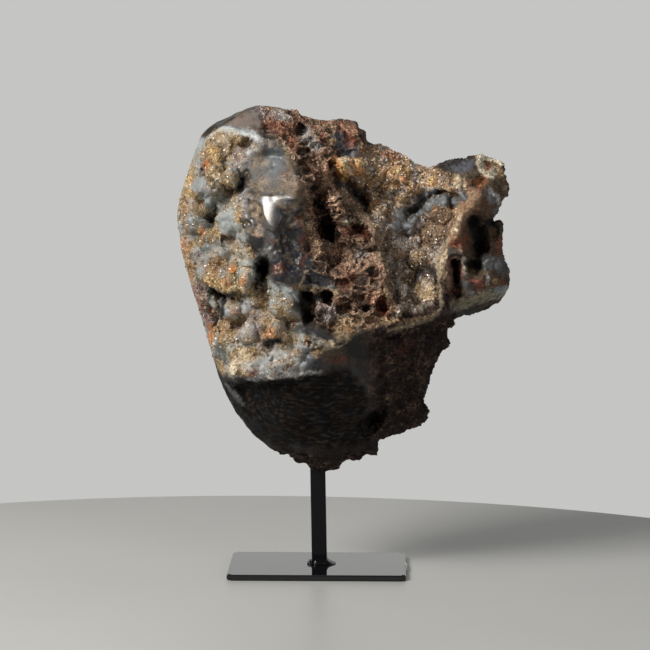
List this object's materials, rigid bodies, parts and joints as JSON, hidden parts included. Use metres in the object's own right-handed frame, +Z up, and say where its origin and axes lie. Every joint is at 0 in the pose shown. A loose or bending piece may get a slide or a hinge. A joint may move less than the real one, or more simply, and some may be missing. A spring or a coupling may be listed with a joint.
{
  "type": "agate on stand",
  "caption": "Natural split agate with a druse face, a boxwork ridge and a crystal-lined hollow, held upright by a square post welded to a flat rectangular plate.",
  "frame": {"origin": "middle of the plate's underside, where the stand rests", "axes": "+Z up; -Y is the stone's druse side, which faces the viewer; +X to the viewer's right"},
  "size_m": [0.2172, 0.1254, 0.3054],
  "materials": {
    "black_paint": "gloss black paint on steel",
    "agate_stone": "natural, part rough and part polished",
    "druse": "glossy small crystals"
  },
  "bodies": {
    "root": {"base_plate": "black_paint", "post": "black_paint", "agate": "agate_stone", "druse_crust": "druse"}
  },
  "joints": []
}
